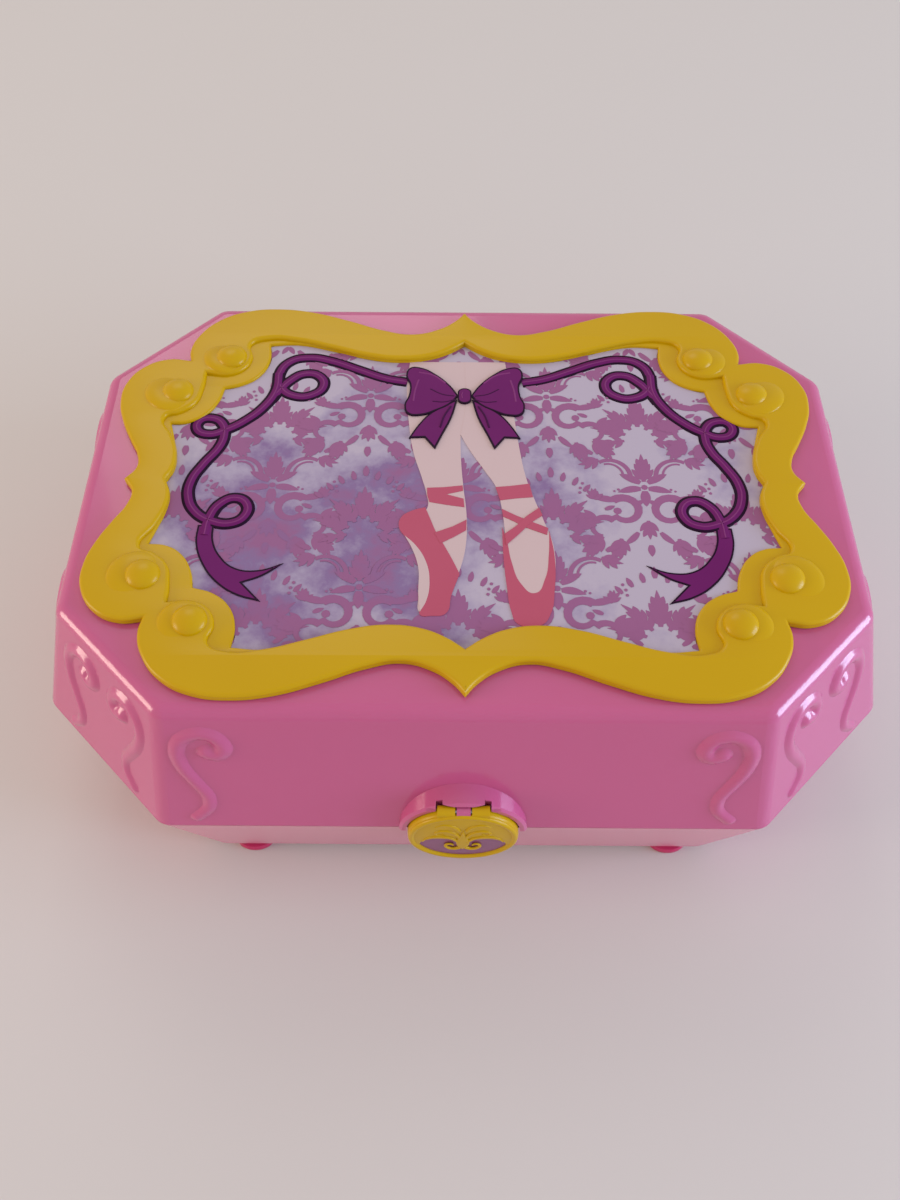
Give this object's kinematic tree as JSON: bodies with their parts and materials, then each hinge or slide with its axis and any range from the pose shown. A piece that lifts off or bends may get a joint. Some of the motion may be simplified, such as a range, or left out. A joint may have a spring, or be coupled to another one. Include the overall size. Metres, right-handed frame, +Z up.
{
  "type": "ballerina jewellery box",
  "caption": "Pink octagonal clamshell jewellery box with a gold scroll frame on the lid, a round gold clasp, a wind-up movement and a dancer that turns inside",
  "frame": {"origin": "middle of the footprint, on the table", "axes": "+X to the box's right seen from the front, -Y to the front where the clasp is, +Z up"},
  "size_m": [0.201, 0.1518, 0.0741],
  "materials": {
    "pink_shell": "glossy pink moulded plastic",
    "hot_pink": "soft pink pads",
    "gold_paint": "satin gold coloured plastic",
    "picture": "printed lilac sheet",
    "purple": "purple enamel",
    "steel": "plain steel",
    "brass": "turned brass",
    "mirror": "silvered sheet",
    "tray_plastic": "pale pink moulding",
    "white_plastic": "white moulding",
    "figure": "painted figure",
    "tulle": "stiff pink tulle"
  },
  "bodies": {
    "base": {"base_shell": "pink_shell", "base_feet": "hot_pink", "hinge_pin": "steel", "bedplate": "steel", "bedplate_screws": "steel", "click_spring": "steel", "bracket_left": "steel", "bracket_right": "steel", "governor_bracket": "steel", "comb_block": "steel", "comb": "steel", "comb_screws": "steel", "tray": "tray_plastic", "tray_screws": "steel", "stage_ring": "gold_paint"},
    "lid": {"lid_shell": "pink_shell", "scroll_frame": "gold_paint", "picture_panel": "picture", "mirror": "mirror", "mirror_frame": "gold_paint", "mirror_screws": "steel", "clasp_pin": "steel"},
    "clasp": {"clasp_medallion": "gold_paint", "clasp_inlay": "purple"},
    "winder": {"winding_key": "steel", "winding_arbor": "steel", "ratchet_wheel": "steel"},
    "turntable": {"spring_barrel": "brass", "barrel_cover": "brass", "mainspring": "steel", "turntable_disc": "gold_paint", "dancer_spring": "steel", "dancer_figure": "figure", "dancer_tutu": "tulle"},
    "cylinder": {"music_cylinder": "brass", "cylinder_shaft": "steel", "cylinder_pinion": "brass", "cylinder_wheel": "brass"},
    "governor": {"governor_arbor": "steel", "governor_pinion": "brass", "air_brake": "white_plastic"},
    "stop": {"stop_slide": "white_plastic"}
  },
  "joints": [
    {"name": "lid_hinge", "type": "hinge", "parent": "base", "child": "lid", "pos_m": [0, 0.0731, 0.034], "axis": [-1, 0, 0], "range_deg": [0, 100]},
    {"name": "clasp_hinge", "type": "hinge", "parent": "lid", "child": "clasp", "pos_m": [0, -0.0742, 0.046], "axis": [-1, 0, 0], "range_deg": [0, 75]},
    {"name": "key_turn", "type": "hinge", "parent": "base", "child": "winder", "pos_m": [0, 0.0102, 0.005], "axis": [0, 0, 1], "continuous": true},
    {"name": "barrel_turn", "type": "hinge", "parent": "base", "child": "turntable", "pos_m": [0, 0.0102, 0.02], "axis": [0, 0, 1], "continuous": true},
    {"name": "cylinder_turn", "type": "hinge", "parent": "base", "child": "cylinder", "pos_m": [0.026, 0.0102, 0.02127], "axis": [1, 0, 0], "continuous": true},
    {"name": "governor_turn", "type": "hinge", "parent": "base", "child": "governor", "pos_m": [0.042, 0.0182, 0.02127], "axis": [1, 0, 0], "continuous": true},
    {"name": "stop_lift", "type": "slide", "parent": "base", "child": "stop", "axis": [0, 0, 1], "range_m": [0, 0.0032]}
  ],
  "couplings": [
    {"joint": "cylinder_turn", "follows": "barrel_turn", "ratio": 3},
    {"joint": "governor_turn", "follows": "barrel_turn", "ratio": -9},
    {"joint": "stop_lift", "follows": "lid_hinge", "m_per_rad": 0.0017}
  ]
}
